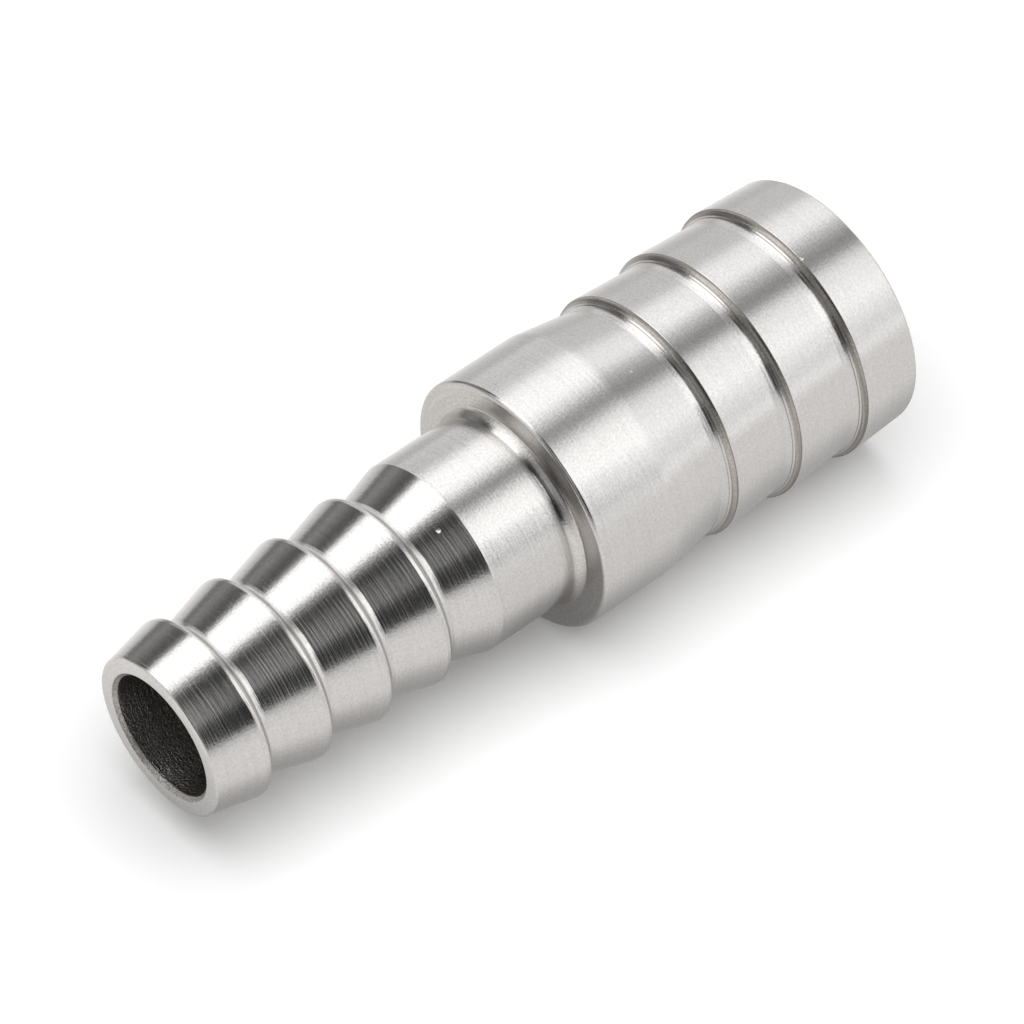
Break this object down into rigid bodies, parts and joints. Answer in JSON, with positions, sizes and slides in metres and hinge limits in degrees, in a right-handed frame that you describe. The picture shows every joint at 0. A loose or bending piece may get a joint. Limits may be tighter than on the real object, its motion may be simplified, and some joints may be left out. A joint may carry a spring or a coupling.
{
  "type": "hose barb reducer",
  "caption": "One-piece turned hose reducer: slim barbed end, plain shank, stepped collar and a wider end with reversed barb bands, bored through.",
  "frame": {"origin": "middle of the large end's face, at the bottom of the part as it stands", "axes": "+Z along the bore, from the large hose end up to the small hose end; X and Y are alike, because the part is round"},
  "size_m": [0.0183, 0.0182, 0.055],
  "materials": {
    "turned_steel": "satin turned stainless steel, with fine rings round the axis"
  },
  "bodies": {
    "root": {"reducer": "turned_steel"}
  },
  "joints": []
}
